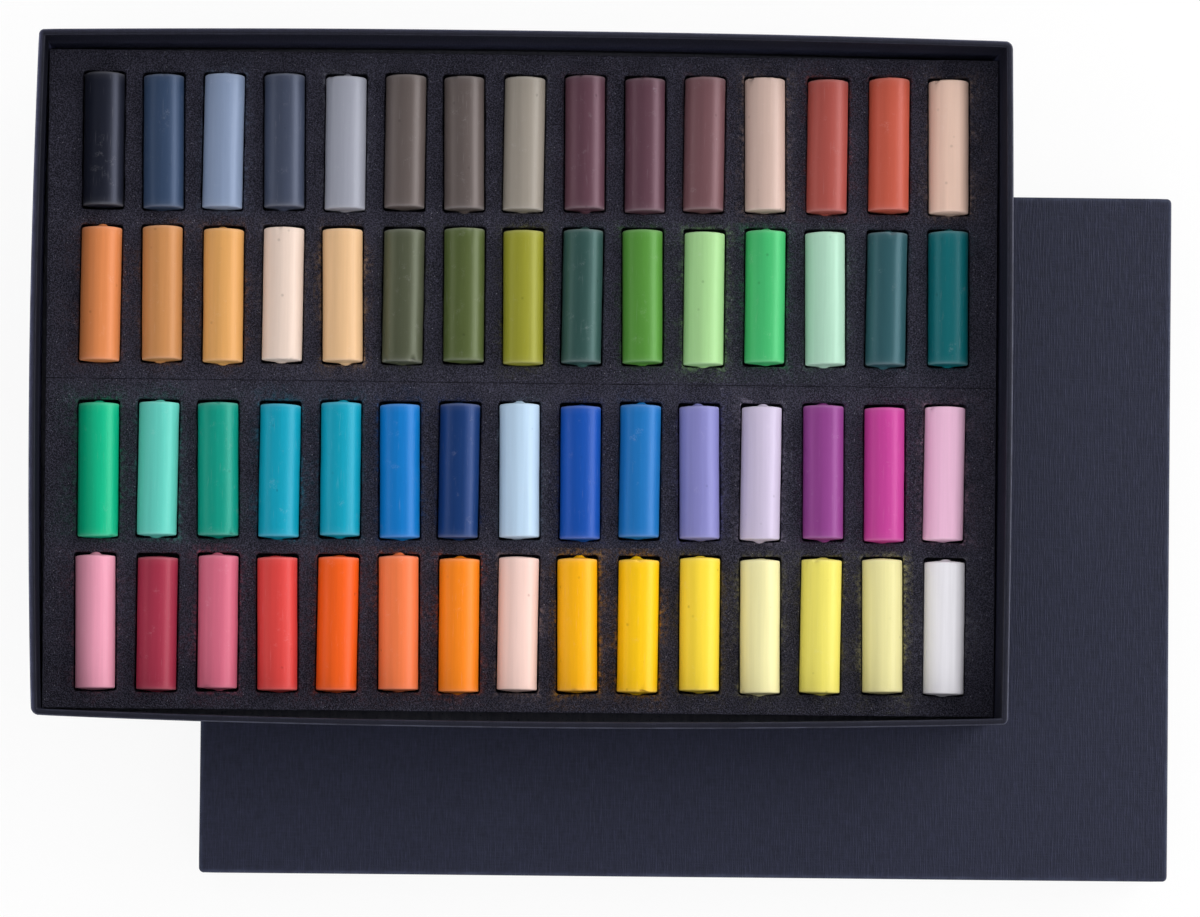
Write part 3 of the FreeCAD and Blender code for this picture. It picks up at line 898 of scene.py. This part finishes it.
def foam_sheet(material):
    """The plain sheet under the pads: its outline set in and raised over a rolled edge, and
    drawn to the middle above and below."""
    node = "foam_base"
    low, high = box(node)
    middle, size = (low + high) / 2, high - low
    rows = [(0.0, share, 1.0) for share in np.linspace(0.98, 0.05, SHEET_RINGS)]
    rows += [(0.5 * MM, 0.0, 1.0), (0.15 * MM, 0.0, 0.95), (0.0, 0.0, 0.8), (0.05 * MM, 0.0, 0.5),
             (0.0, 0.0, 0.15), (0.3 * MM, 0.0, 0.0), (0.3 * MM, 0.98, 0.0)]
    rings = []
    for inset, share, rise in rows:
        ring, _ = rounded_ring(*(size[:2] - 2 * inset), SHEET_CORNER_R, WALL_STEPS, CORNER_STEPS)
        rings.append(raised(ring * (1 - share), rise * size[2]))
    rings = np.array(rings)
    rings[:SHEET_RINGS, :, 2] += dent(rings[:SHEET_RINGS, :, :2], SHEET_SWELL, SEEDS[node])
    points, faces = closed_stack(rings + np.array([middle[0], middle[1], low[2]]))
    piece = put_piece("cushion_foam", points, faces, material, sharp=60)
    mark(piece, "dust", np.zeros(len(points)))
    mark(piece, "dust_and_bounce_colour", np.full(points.shape, PLAIN_DUST))
    return settle(piece, "tray", node)


# --- sticks -----------------------------------------------
def stick_profile(end, nub_height):
    """Half a stick's section from the nub at its end to its middle, as (distance from the middle,
    radius, nearness to the rim): a low bell for the nub on a shallow dome, a quarter circle for the
    rim and the straight side."""
    flat, shoulder = STICK_R - STICK_EDGE_R, end - STICK_CROWN
    radii = np.concatenate([np.linspace(0.12, 1.15, 6) * NUB_R, np.linspace(1.6 * NUB_R, flat, 4)])
    face = shoulder + STICK_CROWN * (1 - (radii / flat) ** 2)
    face += nub_height * np.exp(-(radii / (0.75 * NUB_R)) ** 4)
    turn = np.radians(np.linspace(18, 90, 5))
    rim = shoulder - STICK_EDGE_R * (1 - np.cos(turn))
    rim_r = flat + STICK_EDGE_R * np.sin(turn)
    side = (shoulder - STICK_EDGE_R) * np.linspace(0.97, 0.0, 13)
    distance = np.concatenate([face, rim, side])
    radius = np.concatenate([radii, rim_r, np.full(len(side), STICK_R)])
    near = np.concatenate([np.zeros(8), [0.2, 0.6], [1.0, 1.0, 1.0, 0.9, 0.6], [0.15], np.zeros(12)])
    return distance, radius, near


def stick(name, tint, middle, number, material):
    """One pressed stick along Y: the profile turned about the axis. Each end has its own nub,
    tilt and chipped rim, and the side is slightly out of round with two faint mould seams."""
    node = f"stick_row{number // COLUMNS + 1}_{tint}"
    low, high = box(node)
    z = (low[2] + high[2]) / 2
    rng = np.random.default_rng(STICK_SEED + number)
    length, turn, nudge = lay(number)
    nubs = NUB_H * np.clip(rng.normal(*NUB_SPREAD, 2), 0.0, 1.0)
    halves = zip((-1, 1, 1), *(stick_profile(length / 2, nub) for nub in nubs))
    distance, radius, near = (np.concatenate([one, sign * two[-2::-1]]) for sign, one, two in halves)
    angle = np.linspace(0, 2 * math.pi, STICK_AROUND, endpoint=False)
    reach = np.tile(radius[:, None], STICK_AROUND)
    seam = rng.uniform(0, 2 * math.pi)
    off_seam = np.angle(np.exp(2j * (angle - seam))) / 2
    seams = np.exp(-(off_seam / SEAM_WIDTH) ** 2)
    full = np.clip(radius / STICK_R, 0, 1)[:, None] ** 4
    round_off = OUT_OF_ROUND * (np.cos(2 * angle + rng.uniform(0, 6)) - 1) - SEAM_DEPTH * seams
    reach += full * round_off
    around = STICK_R * compass(angle).T
    cylinder = np.stack(np.broadcast_arrays(around[0], distance[:, None], around[1]), -1)
    reach += full * dent(cylinder, STICK_WAVES, STICK_SEED + number)
    peaks = ripple(cylinder, CHIP_PITCH, CHIP_SEED + number, CHIP_WAVES)
    chips = np.clip(peaks - CHIP_RARITY, 0, 1) * near[:, None]
    reach -= chips * CHIP_DEPTH
    tilt = rng.normal(0, END_TILT, (2, 2))
    ends = np.where(distance > 0, 1, 0)
    toward = (np.abs(distance) / distance.max()) ** 12
    slid = rng.normal(0, NUB_SLIP, (2, 2))
    inner = np.exp(-(radius / (1.8 * NUB_R)) ** 2)[:, None, None]
    section = reach[..., None] * compass(angle) + slid[ends][:, None] * inner
    lean = (section * tilt[ends][:, None]).sum(-1) * toward[:, None]
    y = distance[:, None] + lean - np.sign(distance)[:, None] * chips * CHIP_LENGTH
    flat = turned(np.stack([section[..., 0], y], -1), turn) + middle + nudge
    points, faces = closed_stack(np.dstack([flat, z + section[..., 1]]))
    piece = put_piece(name, points, faces, material)
    mark(piece, "edge", np.append(np.repeat(near, STICK_AROUND), [0.0, 0.0]))
    return settle(piece, "pastel_" + tint, node)


def lay_sticks():
    """All sixty sticks. A node that holds two neighbours of one tint is stood for by both."""
    materials = {}
    for tint, recipe in TINTS.items():
        batches = [recipe, SECOND_BATCH[tint]] if tint in SECOND_BATCH else [recipe]
        materials[tint] = pastel_material("pastel_" + tint, *(tint_colour(*batch) for batch in batches))
    for pad, node in enumerate(("foam_pad_back", "foam_pad_front")):
        middles = slot_middles(node)
        for pad_row in range(2):
            row = 2 * pad + pad_row
            for column, tint in enumerate(ROWS[row]):
                half = "_left" if ROWS[row].index(tint) == column else "_right"
                side = half if tint in PAIRS else ""
                piece = stick(f"pastel_{tint}{side}", tint, middles[pad_row, column],
                              row * COLUMNS + column, materials[tint])
                mark(piece, "batch", np.full(len(piece.data.vertices), float(side == "_right")))


# --- studio -----------------------------------------------
# Radius and height of the floor and of the wall round it.
STAGE = ((0.001, 0.0), (0.5, 0.0), (1.5, 0.0), (4.0, 0.0), (4.6, 0.15), (4.9, 0.5), (5.0, 1.2), (5.0, 3.0))
STAGE_AROUND = 96
FLOOR_SHADE = 0.95
FLOOR_GLOW = 0.9
SKY = 0.66
SKY_COLOUR = (0.985, 0.985, 1.0, 1)
AIM = Vector((0.0, 0.0, 0.03))
# Name, place, size, power and colour. The sheen lamp, by the key lamp, shows in sheen only.
LAMPS = (
    ("key_lamp", (1.15, 0.45, 0.5), (1.5, 1.0), 19.0, (1.0, 0.985, 0.96)),
    ("sheen_lamp", (1.2, 0.25, 0.6), (1.0, 0.5), 6.0, (0.84, 0.9, 1.0)),
    ("fill_lamp", (0.0, -1.25, 0.65), (1.4, 0.6), 4.5, (1.0, 1.0, 1.0)),
    ("left_lamp", (-1.2, 0.0, 0.4), (1.5, 0.5), 2.8, (1.0, 1.0, 1.0)),
)
LENS = 112.3  # millimetres, as is the film
FILM = 36.0
LENS_SHIFT = 0.16
CAMERA_PLACE = (-0.06417, -0.06605, 0.997)
CAMERA_TURN = (0.945, -0.801, 0.593)  # degrees


def white_to_the_eye(name, shade):
    """A stage surface that scatters light as its shade of grey does and is partly plain white to
    the camera and in reflections, so that it stays pale and keeps a soft shadow."""
    material, tree = blank_material(name)
    path = add(tree, "LightPath").outputs
    seen = path["Is Camera Ray"]
    for ray in ("Is Glossy Ray", "Is Transmission Ray"):
        seen = calc(tree, "MAXIMUM", seen, path[ray])
    paint = add(tree, "BsdfDiffuse", {"Color": solid([shade] * 3)}).outputs[0]
    glow = add(tree, "Emission").outputs[0]
    mixed = add(tree, "MixShader", {0: times(tree, seen, FLOOR_GLOW), 1: paint, 2: glow})
    add(tree, "OutputMaterial", {"Surface": mixed.outputs[0]})
    return material


def area_lamp(name, place, size, power, colour):
    """A soft rectangular lamp at a place that faces the set."""
    lamp = bpy.data.lights.new(name, "AREA")
    lamp.shape = "RECTANGLE"
    lamp.size, lamp.size_y = size
    lamp.energy = power
    lamp.color = colour
    holder = put(name, lamp)
    holder.location = place
    holder.rotation_euler = (AIM - Vector(place)).to_track_quat("-Z", "Y").to_euler()
    holder.visible_camera = False
    holder.visible_diffuse = name != "sheen_lamp"


def studio():
    """Pale round floor and wall under an even sky that leaves no sheen, and the lamps."""
    angle = np.linspace(0, 2 * math.pi, STAGE_AROUND, endpoint=False)
    points = np.array([raised(radius * compass(angle), z) for radius, z in STAGE])
    faces = stack_faces(*points.shape[:2]).tolist()
    paint = white_to_the_eye("floor_paint", FLOOR_SHADE)
    put_mesh("floor", points.reshape(-1, 3), faces, paint)
    for lamp in LAMPS:
        area_lamp(*lamp)
    world = bpy.data.worlds.new("studio_air")
    world.use_nodes = True
    feed(world.node_tree.nodes["Background"], {"Color": SKY_COLOUR, "Strength": SKY})
    world.cycles_visibility.glossy = False
    bpy.context.scene.world = world
    bpy.context.scene.view_settings.view_transform = "Standard"


def camera():
    """Looks down on the set from over the tray, with the film parallel to the floor but for a
    degree or so, and the lens shifted to take in the whole set."""
    lens = bpy.data.cameras.new("camera")
    lens.lens = LENS
    lens.sensor_width = FILM
    lens.shift_x = lens.shift_y = LENS_SHIFT
    holder = put("camera", lens)
    holder.location = CAMERA_PLACE
    holder.rotation_euler = [math.radians(a) for a in CAMERA_TURN]
    bpy.context.scene.camera = holder


studio()
camera()
linen = paper_material("linen_paper", linear((33, 36, 56)), linear((72, 80, 104)), 0.7 * MM, 0.06 * MM)
smooth = paper_material("smooth_paper", linear((32, 33, 48)), linear((96, 100, 122)), 0.55 * MM, 0.02 * MM)
greyboard = board_material("greyboard", (154, 148, 138), (118, 112, 104), 700.0)
# The tray's board is darker than greyboard: painted shade where it shows in the gap between the foam and
# the walls.
shade_dark_board = board_material("shade_dark_board", (104, 105, 116), (80, 81, 92), 700.0)
kraft = board_material("gummed_paper", (176, 150, 120), (146, 120, 92), 900.0)
foam = foam_material()
wrapped_sheet("tray", smooth, TRAY_CORNERS, TRAY_TURN_IN, TRAY_BOW, TRAY_PAINTED_TONES)
wrapped_sheet("lid", linen, LID_CORNERS, LID_TURN_IN, np.zeros(4), np.ones((7, 4)))
for node, material in (("tray_board", shade_dark_board), ("lid_board", greyboard),
                       ("tray_corner_stays", kraft), ("lid_corner_stays", kraft)):
    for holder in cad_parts[node].material_slots:
        holder.material = material
foam_pad("foam_pad_back", 0, foam)
foam_pad("foam_pad_front", 2 * COLUMNS, foam)
foam_sheet(foam)
lay_sticks()
